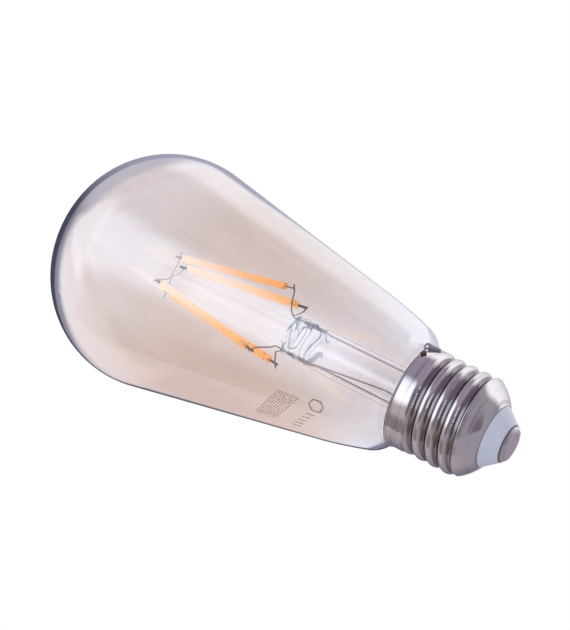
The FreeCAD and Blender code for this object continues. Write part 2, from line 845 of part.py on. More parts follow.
def soft_minimum(first, second, softness):
    """The smaller of two radii, with the corner between them rounded off."""
    gap = (first - second) / softness
    if abs(gap) > 30:
        return min(first, second)
    return min(first, second) - softness * math.log1p(math.exp(-abs(gap)))


def shell_radius(height, azimuth, inset):
    """The pressed shell: plain skirt, thread that fades out of it, closing cone."""
    crest_height = size("thread_phase_height") + size("thread_pitch") * azimuth / (2 * math.pi)
    thread = thread_radius(height - crest_height, inset)
    skirt = size("skirt_radius") - inset
    fade = (height - size("skirt_foot_height")) / size("thread_fade") + 1
    fade = min(max(fade, 0), 1)
    fade = fade * fade * (3 - 2 * fade)
    side = thread + (skirt - thread) * fade
    return soft_minimum(side, cone_radius(height, inset), 0.06)


def shell_stations(inset):
    """Heights at which a skin is drawn, each with the rim bead's bulge there."""
    low = size("cone_end_height")
    bead = size("bead_radius")
    bead_height = size("rim_height") - bead
    plain_top = bead_height - 1.2 * bead
    rows = 90
    stations = [(low + (plain_top - low) * row / rows, 0.0) for row in range(rows + 1)]
    for step in range(9):
        turn = math.pi * step / 8
        bulge = 0.0 if inset else BEAD_OVERHANG + bead * math.sin(turn)
        stations.append((bead_height - bead * math.cos(turn), bulge))
    return stations


def shell_skin(inset):
    """One skin of the shell as a smooth surface through points on its formula."""
    columns = 48
    grid = []
    for column in range(columns):
        azimuth = 2 * math.pi * column / columns
        line = []
        for height, bulge in shell_stations(inset):
            radius = shell_radius(height, azimuth, inset) + bulge
            line.append(Vector(radius * math.cos(azimuth), radius * math.sin(azimuth), height))
        grid.append(line)
    grid.append(grid[0])
    surface = Part.BSplineSurface()
    surface.interpolate(grid)
    return surface.toShape()


def end_ring(outer, inner, height):
    """The flat ring that joins both skins at one end."""
    wires = []
    for skin in (outer, inner):
        rim = [
            edge for edge in skin.Edges
            if abs(edge.BoundBox.ZMin - height) < 1e-4 and abs(edge.BoundBox.ZMax - height) < 1e-4
        ]
        wires.append(Part.Wire(rim))
    return Part.makeFace(Part.makeCompound(wires), "Part::FaceMakerBullseye")


def make_cap_shell():
    """The drawn screw shell: thread, closing cone and rolled rim in one thin sheet."""
    outer = shell_skin(0.0)
    inner = shell_skin(size("sheet_thickness"))
    rings = [end_ring(outer, inner, size(end)) for end in ("cone_end_height", "rim_height")]
    skin = Part.Shell([outer, inner, *rings])
    skin.sewShape()
    return keep(formed("cap_shell", Part.Solid(skin.Shells[0])))


def make_cap_insulator():
    """The moulded insulator: a pale cone between shell and contact, with a plug inside."""
    shank = "dims.contact_shank_radius + dims.stand_off"
    return keep(turned_piece("cap_insulator", (
        (shank, "dims.contact_edge_height"),
        ("dims.contact_radius + 0.1", "dims.contact_edge_height"),
        ("dims.insulator_shoulder_radius", "dims.insulator_shoulder_height"),
        ("dims.insulator_plug_radius", "dims.insulator_shoulder_height"),
        ("dims.insulator_plug_radius", "dims.insulator_top_height"),
        (shank, "dims.insulator_top_height"),
    )))


def make_centre_contact():
    """The centre contact: a bevelled, almost flat head on a short shank."""
    return keep(turned_piece("centre_contact", (
        ("0", "0"),
        ("dims.contact_flat_radius", "0"),
        ("dims.contact_face_radius", "dims.contact_dome_height"),
        ("dims.contact_radius", "dims.contact_edge_height - dims.stand_off"),
        ("dims.contact_shank_radius", "dims.contact_edge_height - dims.stand_off"),
        ("dims.contact_shank_radius", "dims.contact_shank_height"),
        ("0", "dims.contact_shank_height"),
    )))


def neutral_points():
    """The neutral wire climbs between neck and skirt and folds over the rim."""
    bearing = size("solder_azimuth")
    gap = (size("neck_radius") + size("skirt_radius") - size("sheet_thickness")) / 2
    rim = size("rim_height")
    inside = size("neck_end_height") - 1.2
    pad = Vector(7.6, -size("board_thickness") / 2 - 0.25, inside - 1.8)
    return [
        pad - UP * 1.5,
        pad,
        polar(10.6, bearing, inside - 0.6),
        polar(gap, bearing, inside + 0.6),
        polar(gap, bearing, rim + 0.35),
        polar(gap + 0.9, bearing, rim + 0.75),
    ]


def make_cap_fixings():
    """Cement, neutral wire and the side solder joint on the rim."""
    play = size("wire_play")
    wire_r = size("neutral_radius")
    bend = 2 * wire_r
    keep(formed("neutral_wire", wire_solid(neutral_points(), wire_r, bend)))

    groove = formed("cement_groove", wire_solid(neutral_points(), wire_r + play, bend))
    inside = "dims.neck_radius + dims.stand_off"
    outside = "dims.skirt_radius - dims.sheet_thickness - dims.stand_off"
    ring = turned_piece("cement_blank", (
        (inside, "dims.cement_foot_height"),
        (outside, "dims.cement_foot_height"),
        (outside, "dims.cement_top_height"),
        (inside, "dims.cement_top_height"),
    ))
    keep(cut_away("cap_cement", ring, groove))
    keep(formed("side_solder", solder_lump()))


# The two ends of the solder's run: radius, degrees along the rim, height over the rim.
SOLDER_RUN = ((1.15, 0.0, 0.1), (0.7, 6.0, -1.9))


def tapered_drop(start, start_radius, end, end_radius):
    """A smooth drop: two balls joined by the cone that touches both."""
    length = (end - start).Length
    lean = math.asin((start_radius - end_radius) / length)

    def on_ball(radius, height, angle):
        return Vector(radius * math.cos(angle), 0, height + radius * math.sin(angle))

    quarter = math.pi / 2
    foot = on_ball(start_radius, 0, -quarter)
    foot_middle = on_ball(start_radius, 0, (lean - quarter) / 2)
    touch_low = on_ball(start_radius, 0, lean)
    touch_high = on_ball(end_radius, length, lean)
    tip_middle = on_ball(end_radius, length, (lean + quarter) / 2)
    tip = on_ball(end_radius, length, quarter)
    outline = Part.Wire([
        Part.Arc(foot, foot_middle, touch_low).toShape(),
        Part.makeLine(touch_low, touch_high),
        Part.Arc(touch_high, tip_middle, tip).toShape(),
        Part.makeLine(tip, foot),
    ])
    drop = Part.Face(outline).revolve(Vector(0, 0, 0), UP, 360)
    drop.Placement = FreeCAD.Placement(start, FreeCAD.Rotation(UP, end - start))
    return drop


def solder_lump():
    """Solder run down over the rim, hollowed to fit rim, glass and wire."""
    rim = size("rim_height")
    skirt = size("skirt_radius")
    (start_radius, start_turn, start_rise), (end_radius, end_turn, end_rise) = SOLDER_RUN
    start = polar(skirt + 0.1, size("solder_azimuth") + start_turn, rim + start_rise)
    end = polar(skirt, size("solder_azimuth") + end_turn, rim + end_rise)
    lump = tapered_drop(start, start_radius, end, end_radius)
    play = size("stand_off")
    deep = rim - size("contact_shank_height")
    cap_zone = Part.makeCylinder(skirt + play, deep, Vector(0, 0, rim + play - deep))
    rolled = size("bead_radius")
    bead = Part.makeTorus(skirt + BEAD_OVERHANG, rolled + 2 * play, Vector(0, 0, rim - rolled))
    wire_r = size("neutral_radius")
    wire = wire_solid(neutral_points(), wire_r + play, 2 * wire_r)
    neck = Part.makeCylinder(size("neck_radius") + 0.3, deep, Vector(0, 0, rim))
    return lump.cut(cap_zone).cut(bead).cut(wire).cut(neck)


# ---------------------------------------------------------------- driver


def make_driver():
    """The driver board stands on edge in the cap, parts on both faces."""
    keep(block(
        "driver_board",
        ("dims.board_width", "dims.board_thickness", "dims.board_height"),
        ("-dims.board_width / 2", "-dims.board_thickness / 2", "dims.board_foot_height"),
    ))
    package = ("dims.package_length", "dims.package_depth", "dims.package_height")
    rear = "dims.board_thickness / 2 + dims.stand_off"
    level = "dims.board_foot_height + dims.package_rise"
    keep(block("bridge_rectifier", package, ("dims.rectifier_left", rear, level)))
    keep(block("driver_chip", package, ("dims.driver_chip_left", rear, level)))
    keep(formed("bulk_capacitor", bulk_capacitor()))
    keep(formed("inductor_core", inductor_core()))
    keep(formed("inductor_winding", inductor_winding()))
    resistor_foot = beside_board("resistor_x", "resistor_radius", "resistor_rise")
    keep(rod("fusible_resistor", "dims.resistor_radius", "dims.resistor_length", resistor_foot))
    keep(formed("surface_resistors", chip_parts(-3.4, 7.0, (1.6, 0.5, 0.8))))
    keep(formed("surface_capacitors", chip_parts(-7.6, 6.2, (1.25, 0.8, 0.8))))
    make_radio_module()
    inside = "dims.sleeve_radius - dims.sleeve_wall"
    keep(turned_piece("driver_sleeve", (
        (inside, "dims.sleeve_foot_height"),
        ("dims.sleeve_radius", "dims.sleeve_foot_height"),
        ("dims.sleeve_radius", "dims.sleeve_top_height"),
        (inside, "dims.sleeve_top_height"),
    )))
    keep(formed("live_wire", wire_solid(live_points(), size("lead_radius"), 0.3)))


def live_points():
    """The live wire, from the contact's shank to the board's lower edge."""
    shank = size("contact_shank_height") + size("stand_off")
    bend = size("live_bend_height")
    aside = size("live_foot_offset")
    return [
        Vector(0, 0, shank),
        Vector(0, 0, bend),
        Vector(-aside, 0, bend + 0.7),
        Vector(-aside, 0, size("board_foot_height") - size("stand_off")),
    ]


def beside_board(across, radius, rise):
    """Foot of a round part's axis, standing just clear of the board's front face."""
    depth = size("board_thickness") / 2 + size(radius) + 2 * size("stand_off")
    return Vector(size(across), -depth, size("board_foot_height") + size(rise))


def bulk_capacitor():
    """An electrolytic can with a crimp ring, standing beside the board."""
    radius = size("capacitor_radius")
    foot = beside_board("capacitor_x", "capacitor_radius", "capacitor_rise")
    can = Part.makeCylinder(radius, size("capacitor_length"), foot)
    can = can.makeFillet(0.4, [edge for edge in can.Edges if isinstance(edge.Curve, Part.Circle)])
    crimp = Part.makeTorus(radius + 0.1, 0.35, foot + UP * radius / 2)
    return can.cut(crimp)


def inductor_core():
    """A ferrite drum: two flanges on a thinner waist."""
    foot = beside_board("inductor_x", "inductor_radius", "inductor_rise")
    flange, thick = size("inductor_radius"), size("inductor_flange")
    length = size("inductor_length")
    waist = Part.makeCylinder(size("inductor_waist"), length, foot)
    low = Part.makeCylinder(flange, thick, foot)
    high = Part.makeCylinder(flange, thick, foot + UP * (length - thick))
    return waist.multiFuse([low, high]).removeSplitter()


def inductor_winding():
    """The copper winding as one wound mass between the flanges."""
    foot = beside_board("inductor_x", "inductor_radius", "inductor_rise")
    play, thick = size("stand_off"), size("inductor_flange")
    height = size("inductor_length") - 2 * thick - 2 * play
    low = foot + UP * (thick + play)
    mass = Part.makeCylinder(size("inductor_radius") - 0.3, height, low)
    return mass.cut(Part.makeCylinder(size("inductor_waist") + play, height, low))


def chip_parts(left, rise, lengths, count=3):
    """A row of surface-mount parts on the board's rear face: x of the first, height, edges."""
    along, deep, tall = lengths
    spacing = along + 0.6
    face = size("board_thickness") / 2 + size("stand_off")
    pieces = []
    for place in range(count):
        corner = Vector(left + place * spacing, face, size("board_foot_height") + rise)
        pieces.append(Part.makeBox(along, deep, tall, corner))
    return Part.makeCompound(pieces)


def make_radio_module():
    """The radio module on header pins behind the board, its antenna at the top."""
    front = "dims.board_thickness / 2 + dims.module_gap"
    foot = "dims.board_foot_height + dims.module_rise"
    keep(block(
        "radio_board",
        ("dims.module_width", "dims.module_thickness", "dims.module_height"),
        ("-dims.module_width / 2", front, foot),
    ))
    rear = f"{front} + dims.module_thickness + dims.stand_off"
    keep(block("radio_chip", ("4", "0.85", "4"), ("-4.6", rear, f"{foot} + 0.8")))
    keep(block("radio_crystal", ("2", "0.6", "1.6"), ("1.2", rear, f"{foot} + 1.2")))
    keep(formed("module_header_pins", header_pins()))
    keep(formed("radio_antenna", antenna_strip()))


def header_pins():
    """Five square pins that join the radio board to the driver board."""
    count, pitch, thick = 5, 2.0, 0.5
    start = size("board_thickness") / 2 + size("stand_off")
    span = size("module_gap") - 2 * size("stand_off")
    level = size("board_foot_height") + size("module_rise") + 1.2
    first = -((count - 1) * pitch + thick) / 2
    pins = []
    for place in range(count):
        corner = Vector(first + pitch * place, start, level)
        pins.append(Part.makeBox(thick, span, thick, corner))
    return Part.makeCompound(pins)


def antenna_strip():
    """A flat folded antenna along the radio board's top edge."""
    face = value("dims.board_thickness / 2 + dims.module_gap + dims.module_thickness + dims.stand_off")
    top = value("dims.board_foot_height + dims.module_rise + dims.module_height - 0.6")
    width, thick, rise, step, folds = 0.3, 0.1, 2.0, 0.9, 10
    first = -(folds * step + width) / 2
    bars = []
    for place in range(folds + 1):
        left = first + step * place
        bars.append(Part.makeBox(width, thick, rise, Vector(left, face, top - rise)))
        if place < folds:
            level = top - width if place % 2 == 0 else top - rise
            bars.append(Part.makeBox(step + width, thick, width, Vector(left, face, level)))
    return bars[0].multiFuse(bars[1:]).removeSplitter()


# ---------------------------------------------------------------- outer leads


def make_outer_leads():
    """The outer leads drop through the stem to the driver board's top edge."""
    top = size("board_foot_height") + size("board_height") + size("stand_off")
    feet = {
        "common": Vector(5.0, 0, top),
        "warm": Vector(-3.2, 0, top),
        "cool": Vector(-6.2, 0, top),
    }
    drifts = {"common": 0, "warm": 0, "cool": 50}
    for name, (side, row) in SEALS.items():
        above = feet[name] + UP
        points = outer_lead_points(side, row, drifts[name], above) + [feet[name]]
        keep(formed(f"outer_{name}_lead", wire_solid(points, size("lead_radius"), 0.8)))


# ---------------------------------------------------------------- assembly and files


def check_document():
    """Stop if any object failed to compute or any sub-part has no sound shape."""
    for item in doc.Objects:
        if "Invalid" in item.State or "Error" in item.State:
            raise RuntimeError(f"{item.Name} did not compute: {item.State}")
    for piece in nodes:
        shape = piece.Shape
        if shape.isNull() or not shape.isValid() or shape.Volume <= 0:
            raise RuntimeError(f"{piece.Label} has no sound solid")


def write_parts():
    os.makedirs("parts", exist_ok=True)
    for piece in nodes:
        piece.Shape.exportStep(f"parts/{piece.Label}.step")


fill_sheet()
keep(make_glass_envelope())
make_wires_and_stem_glass()
keep(make_exhaust_tube())
make_filaments()
make_outer_leads()
make_cap_shell()
make_cap_insulator()
make_centre_contact()
make_cap_fixings()
make_driver()
doc.recompute()
check_document()
write_parts()
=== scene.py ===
import json
import math
from collections import namedtuple

import bmesh
import bpy
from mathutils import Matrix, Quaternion, Vector


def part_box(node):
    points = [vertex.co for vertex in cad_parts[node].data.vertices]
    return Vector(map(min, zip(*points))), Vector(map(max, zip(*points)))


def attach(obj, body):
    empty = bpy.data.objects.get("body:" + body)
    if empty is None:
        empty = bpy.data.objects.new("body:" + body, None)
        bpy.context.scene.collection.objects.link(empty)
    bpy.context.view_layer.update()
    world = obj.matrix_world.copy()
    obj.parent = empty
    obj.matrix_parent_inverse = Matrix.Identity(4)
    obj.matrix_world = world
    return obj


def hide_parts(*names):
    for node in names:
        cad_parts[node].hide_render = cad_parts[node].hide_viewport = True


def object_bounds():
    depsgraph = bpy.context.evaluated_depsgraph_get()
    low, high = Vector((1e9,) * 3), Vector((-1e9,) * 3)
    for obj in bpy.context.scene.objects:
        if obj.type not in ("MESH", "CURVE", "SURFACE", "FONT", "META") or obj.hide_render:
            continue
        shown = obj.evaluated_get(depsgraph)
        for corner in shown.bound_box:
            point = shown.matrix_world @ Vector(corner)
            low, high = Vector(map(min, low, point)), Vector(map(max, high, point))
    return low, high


# Looks of a smoke-tinted filament lamp on a screw cap.
# The lamp's axis is Z, cap down.  Lengths are metres, bearings are degrees from +X.

MM = 0.001

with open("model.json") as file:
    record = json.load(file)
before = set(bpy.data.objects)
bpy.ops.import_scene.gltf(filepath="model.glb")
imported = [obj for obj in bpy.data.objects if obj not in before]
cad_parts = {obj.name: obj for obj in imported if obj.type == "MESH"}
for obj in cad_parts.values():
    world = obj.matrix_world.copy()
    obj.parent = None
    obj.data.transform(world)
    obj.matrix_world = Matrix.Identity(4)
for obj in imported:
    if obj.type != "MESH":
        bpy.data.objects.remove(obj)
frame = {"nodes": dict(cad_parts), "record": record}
cad_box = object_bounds()
nodes = frame["nodes"]

# Places read from the frame.
glass_low, glass_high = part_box("glass_envelope")
cap_low, cap_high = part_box("cap_shell")
coat_low, coat_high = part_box("filament_1_phosphor_coat")
pillar_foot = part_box("glass_pillar")[0].z
stem_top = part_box("stem_tube")[1].z
insulator_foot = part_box("cap_insulator")[0].z
rim_height = cap_high.z
shoulder_height = cap_low.z


# ---------------------------------------------------------------- shader nodes


Place = namedtuple("Place", "point across deep height")


class Shader:
    """A node tree with short calls to add nodes and join them."""

    def __init__(self, owner):
        owner.use_nodes = True
        self.tree = owner.node_tree
        self.tree.nodes.clear()

    def new(self, kind, inputs=None, **settings):
        """Add a node; inputs maps a socket's name or number to a value or another node's output."""
        made = self.tree.nodes.new(f"ShaderNode{kind}")
        for name, setting in settings.items():
            setattr(made, name, setting)
        for name, given in (inputs or {}).items():
            if isinstance(given, bpy.types.NodeSocket):
                self.tree.links.new(given, made.inputs[name])
            else:
                made.inputs[name].default_value = given
        return made

    def math(self, operation, first, second=0.0):
        return self.new("Math", {0: first, 1: second}, operation=operation).outputs[0]

    def product(self, first, *others):
        """Several values multiplied."""
        for other in others:
            first = self.math("MULTIPLY", first, other)
        return first

    def rest_of(self, share):
        """One less a share."""
        return self.math("SUBTRACT", 1.0, share)

    def vector(self, operation, first, second=(0, 0, 0), output="Vector"):
        inputs = {0: first, 1: second}
        return self.new("VectorMath", inputs, operation=operation).outputs[output]

    def step(self, value, low, high, start=0.0, end=1.0):
        """A smooth step of the value between low and high."""
        inputs = {0: value, 1: low, 2: high, 3: start, 4: end}
        return self.new("MapRange", inputs, interpolation_type="SMOOTHSTEP").outputs[0]

    def ramp(self, factor, stops):
        """A colour ramp through (place, colour) stops."""
        made = self.new("ValToRGB", {0: factor})
        elements = made.color_ramp.elements
        while len(elements) < len(stops):
            elements.new(0.5)
        for element, (place, colour) in zip(elements, stops):
            element.position = place
            element.color = colour
        return made.outputs[0]

    def blend(self, factor, first, second):
        """Mix two colours."""
        inputs = {0: factor, 6: first, 7: second}
        return self.new("Mix", inputs, data_type="RGBA").outputs[2]

    def place(self):
        """The point being shaded, in the lamp's frame, with its coordinates."""
        point = self.new("NewGeometry").outputs["Position"]
        across, deep, height = self.new("SeparateXYZ", {0: point}).outputs
        return Place(point, across, deep, height)

    def off_axis(self):
        """The point's position seen along the lamp's axis, without its height."""
        here = self.place()
        return self.new("CombineXYZ", {0: here.across, 1: here.deep}).outputs[0]

    def radius(self):
        """Distance of the point being shaded from the lamp's axis."""
        return self.vector("LENGTH", self.off_axis(), output="Value")

    def speckle(self, scale, detail=2.0, stretch=(1, 1, 1)):
        """Noise in the lamp's frame; stretch scales the pattern's axes."""
        mapped = self.new("Mapping", {0: self.place().point, 3: stretch}).outputs[0]
        inputs = {"Vector": mapped, "Scale": scale, "Detail": detail}
        return self.new("TexNoise", inputs).outputs[0]

    def drawn(self, scale, detail=2.0):
        """Noise in long lines that run along the glass from neck to crown."""
        around = self.vector("NORMALIZE", self.off_axis())
        climb = self.new("CombineXYZ", {2: self.place().height}).outputs[0]
        inputs = {"Vector": self.vector("ADD", around, climb), "Scale": scale, "Detail": detail}
        return self.new("TexNoise", inputs).outputs[0]

    def bump(self, height, strength, distance):
        inputs = {"Height": height, "Strength": strength, "Distance": distance}
        return self.new("Bump", inputs).outputs[0]

    def principled(self, **inputs):
        """A principled surface; underscores in the names stand for spaces."""
        named = {name.replace("_", " "): given for name, given in inputs.items()}
        return self.new("BsdfPrincipled", named).outputs[0]

    def clear(self, tint=(1, 1, 1, 1)):
        """A surface that lets light straight through, tinted."""
        return self.new("BsdfTransparent", {0: tint}).outputs[0]

    def matt(self, colour):
        return self.new("BsdfDiffuse", {0: colour}).outputs[0]

    def mirror(self, colour, roughness, normal):
        inputs = {"Color": colour, "Roughness": roughness, "Normal": normal}
        return self.new("BsdfGlossy", inputs).outputs[0]

    def edge_on(self):
        """0 where the surface faces the viewer, 1 where it is seen edge on."""
        return self.new("LayerWeight", {"Blend": 0.5}).outputs["Facing"]

    def mirror_share(self, edge_on, power, gain, least):
        """How much of the light a glass skin mirrors: least face on, more where edge on."""
        inputs = {0: self.math("POWER", edge_on, power), 1: gain, 2: least}
        return self.new("Math", inputs, operation="MULTIPLY_ADD").outputs[0]

    def mixed(self, factor, first, second):
        """Mix two surfaces."""
        return self.new("MixShader", {0: factor, 1: first, 2: second}).outputs[0]

    def light_path(self, kind):
        return self.new("LightPath").outputs[kind]

    def finish(self, shader, kind="OutputMaterial"):
        self.new(kind, {0: shader})


def new_material(name):
    material = bpy.data.materials.new(name)
    return material, Shader(material)


def tone(red, green, blue):
    """A colour given in display values from 0 to 255."""
    def linear(level):
        level /= 255
        return level / 12.92 if level <= 0.04045 else ((level + 0.055) / 1.055) ** 2.4
    return linear(red), linear(green), linear(blue), 1.0


WHITE = tone(255, 255, 255)


# ---------------------------------------------------------------- glass


def one_skin(red, green, blue):
    """The tint of one side of the lamp, for a tone that light takes on through both sides."""
    return tuple(math.sqrt(level) for level in tone(red, green, blue))


def on_outer_skin(s):
    """1 on the glass's outer skin, 0 on its inner one.

    The shading normal is turned towards the viewer, so it is turned back where needed.
    """
    geometry = s.new("NewGeometry").outputs
    middle = (glass_low + glass_high) / 2
    from_middle = s.vector("SUBTRACT", geometry["Position"], middle)
    facing_out = s.vector("DOT_PRODUCT", geometry["Normal"], from_middle, output="Value")
    turned_back = s.rest_of(s.product(geometry["Backfacing"], 2.0))
    return s.math("GREATER_THAN", s.product(facing_out, turned_back), 0.0)


def painted_dark_edge(s, edge_on, share_up):
    """How far the edge-on glass is darkened by a painted reflection of the dark room, and the tone
    painted there.

    The painted reflection is widest at the crown, slate on the left and paler on the right.
    """
    normal = s.new("NewGeometry").outputs["Normal"]
    rise = s.math("ABSOLUTE", s.new("SeparateXYZ", {0: normal}).outputs[2])
    to_right = s.step(s.math("DIVIDE", s.place().across, s.radius()), 0.25, 0.95)
    upper = s.step(share_up, 0.45, 0.75)
    side_start, crown_start, fade, right_spread = 0.81, 0.57, 0.11, 0.12
    start = s.step(rise, 0.1, 0.85, side_start, crown_start)
    start = s.math("SUBTRACT", start, s.product(to_right, upper, right_spread))
    edge = s.step(edge_on, start, s.math("ADD", start, fade))
    # painted reflection: paler grey on the upper right, dark slate elsewhere along the edge
    painted_right_reflection = s.blend(upper, one_skin(196, 194, 202), one_skin(160, 158, 178))
    return edge, s.blend(to_right, one_skin(64, 64, 82), painted_right_reflection)


def smoke_tint(s, share_up, at_crown, streaks):
    """The smoke: warm in the body and on its left, cooler at neck and crown, finely lined."""
    wander = s.product(s.math("SUBTRACT", s.speckle(22, 3), 0.5), 0.35)
    smoke = s.ramp(s.math("ADD", share_up, wander), (
        (0.26, one_skin(231, 231, 242)),
        (0.40, one_skin(221, 206, 201)),
        (0.60, one_skin(217, 193, 175)),
        (0.78, one_skin(226, 209, 202)),
        (0.92, one_skin(233, 228, 233)),
    ))
    below_crown = s.rest_of(at_crown)
    to_left = s.step(s.place().across, 2 * MM, -24 * MM)
    in_body = s.step(share_up, 0.24, 0.38)
    warm = s.product(to_left, in_body, below_crown, 0.8)
    smoke = s.blend(warm, smoke, one_skin(216, 180, 156))
    smoke = s.blend(s.step(streaks, 0.35, 0.7, 0.0, 0.45), smoke, one_skin(216, 196, 186))
    draw_lines = s.step(s.drawn(40, 2), 0.46, 0.64, 0.0, 0.5)
    above_neck = s.step(share_up, 0.28, 0.55)
    lined = s.product(draw_lines, below_crown, above_neck)
    return s.blend(lined, smoke, one_skin(206, 186, 178))


def tinted_glass():
    """Thin smoke-tinted glass: its outer skin tints the light and mirrors the studio. Where it is
    seen edge on, it carries a painted dark reflection of the room.
    """
    material, s = new_material("tinted_glass")
    share_up = s.math("DIVIDE", s.place().height, glass_high.z)
    at_crown = s.step(share_up, 0.6, 0.85)
    streaks = s.drawn(3, 3)
    edge_on = s.edge_on()
    edge, painted_edge_reflection = painted_dark_edge(s, edge_on, share_up)
    smoke = smoke_tint(s, share_up, at_crown, streaks)
    # the light through the glass takes on the painted edge reflection where the glass is seen edge
    # on
    through = s.clear(s.blend(edge, smoke, painted_edge_reflection))
    swirls = s.product(s.speckle(34, 1), at_crown, 12.0)
    ripple = s.bump(s.math("ADD", streaks, swirls), 0.15, 0.3 * MM)
    mirror = s.mirror((1.4, 1.55, 1.7, 1.0), 0.11, ripple)
    share = s.mirror_share(edge_on, 3.0, 0.2, 0.13)
    dulled = s.rest_of(s.product(edge, 0.9))
    skin = s.mixed(s.product(share, dulled), through, mirror)
    s.finish(s.mixed(on_outer_skin(s), s.clear(), skin))
    return material


def tube_surface(s):
    """Thin clear glass: open face on, with painted dark edges for refraction's shade, and drawn
    streaks, some of them painted pale as a highlight haze.
    """
    edge_on = s.edge_on()
    streaks = s.speckle(420, 3, stretch=(1, 1, 0.03))
    edge = s.step(edge_on, 0.76, 0.97)
    # painted shade: the tube darkens where it is seen edge on
    through = s.clear(s.blend(edge, WHITE, tone(168, 164, 170)))
    # painted highlight: a pale matt haze along some of the streaks
    through = s.mixed(s.step(streaks, 0.4, 0.75, 0.0, 0.08), through, s.matt(WHITE))
    ripple = s.bump(streaks, 0.2, 0.2 * MM)
    mirror = s.mirror((1.5, 1.4, 1.25, 1.0), 0.06, ripple)
    share = s.mirror_share(edge_on, 4.0, 0.3, 0.04)
    dulled = s.rest_of(s.product(edge, 0.7))
    return s.mixed(s.product(share, dulled), through, mirror)


def pressed_surface(s):
    """Solid glass folded by the pinching: open, with painted refraction lines across it: dark and
    teal painted shade, and a white painted glint.
    """
    folds = s.speckle(120, 1, stretch=(0.5, 1, 1.6))

    def painted_fold_line(level, width):
        from_level = s.math("ABSOLUTE", s.math("SUBTRACT", folds, level))
        return s.step(from_level, width, width * 2, 1.0, 0.0)

    # painted shade: dark and teal refraction lines along the folds
    tint = s.blend(painted_fold_line(0.44, 0.006), tone(250, 252, 254), tone(104, 106, 110))
    tint = s.blend(painted_fold_line(0.56, 0.008), tint, tone(116, 146, 152))
    # painted glint: a white matt line along the folds
    through = s.mixed(s.product(painted_fold_line(0.5, 0.006), 0.45), s.clear(tint), s.matt(WHITE))
    ripple = s.bump(folds, 0.4, 0.4 * MM)
    return s.mixed(0.07, through, s.mirror((1.5, 1.5, 1.5, 1.0), 0.05, ripple))


def clear_glass():
    """The glass of the mount: tube below, solid pressed glass where the stem is pinched shut."""
    material, s = new_material("clear_glass")
    height = s.place().height
    press_low = stem_top - 9 * MM
    above_tube = s.step(height, press_low, press_low + 1.5 * MM)
    below_pillar = s.step(height, pillar_foot, pillar_foot + 1 * MM, 1.0, 0.0)
    in_press = s.product(above_tube, below_pillar)
    s.finish(s.mixed(in_press, tube_surface(s), pressed_surface(s)))
    return material


# ---------------------------------------------------------------- metals


def metal(name, base, dark, roughness, grain, stretch=(1, 1, 1), relief=0.1):
    """A metal whose colour and polish vary with a grain."""
    material, s = new_material(name)
    noise = s.speckle(grain, 4, stretch)
    colour = s.blend(noise, base, dark)
    rough = s.step(noise, 0.3, 0.7, roughness * 0.7, roughness * 1.4)
    normal = s.bump(noise, relief, 0.05 * MM)
    s.finish(s.principled(Base_Color=colour, Metallic=1.0, Roughness=rough, Normal=normal))
    return material


def lead_wire():
    """Nickel-iron wire: brownish grey, painted pale towards the crown as a veil of the key light's
    reflection on the glass in front.
    """
    material, s = new_material("lead_wire")
    noise = s.speckle(1500, 3)
    painted_veil = s.step(s.place().height, stem_top, coat_high.z)
    browned = s.blend(noise, tone(196, 182, 174), tone(132, 118, 112))
    # painted highlight veil: the wire turns pale towards the crown
    colour = s.blend(painted_veil, browned, tone(226, 222, 222))
    normal = s.bump(noise, 0.1, 0.03 * MM)
    s.finish(s.principled(Base_Color=colour, Metallic=0.9, Roughness=0.35, Normal=normal))
    return material


def nickel_plate():
    """Bright nickel: drawing marks round the axis, painted shade in the thread's grooves and a
    darker line at the rim.
    """
    material, s = new_material("nickel_plate")
    height = s.place().height
    marks = s.speckle(1600, 3, stretch=(0.04, 0.04, 1))
    clouds = s.speckle(160, 3)
    colour = s.blend(clouds, tone(236, 233, 234), tone(220, 216, 219))
    colour = s.blend(s.step(marks, 0.5, 0.68, 0.0, 0.45), colour, tone(150, 142, 148))
    groove_shade = s.step(s.radius(), 12.15 * MM, 12.6 * MM, 1.0, 0.0)
    on_thread = s.step(height, 9.8 * MM, 10.4 * MM)
    # painted shade: the thread's grooves darkened
    colour = s.blend(s.product(groove_shade, on_thread, 0.7), colour, tone(92, 78, 78))
    at_rim = s.step(height, rim_height - 0.35 * MM, rim_height - 0.15 * MM)
    colour = s.blend(s.product(at_rim, 0.7), colour, tone(92, 74, 66))
    s.finish(s.principled(
        Base_Color=colour,
        Metallic=1.0,
        Roughness=s.step(clouds, 0.3, 0.7, 0.06, 0.11),
        Specular_Tint=tone(198, 195, 204),
        Normal=s.bump(marks, 0.03, 0.03 * MM),
    ))
    return material


def contact_metal():
    """The centre contact: satin metal with turning rings, darker at its upper edge."""
    material, s = new_material("contact_metal")
    ring_pitch = 0.35 * MM
    rings = s.math("SINE", s.product(s.radius(), 2 * math.pi / ring_pitch))
    clouds = s.speckle(500, 4)
    colour = s.blend(clouds, tone(226, 218, 224), tone(190, 182, 190))
    edge = s.step(s.place().height, 0.6 * MM, 0.85 * MM)
    colour = s.blend(edge, colour, tone(84, 72, 74))
    rough = s.step(clouds, 0.3, 0.7, 0.3, 0.45)
    normal = s.bump(rings, 0.1, 0.01 * MM)
    s.finish(s.principled(Base_Color=colour, Metallic=0.9, Roughness=rough, Normal=normal))
    return material


# ---------------------------------------------------------------- filaments


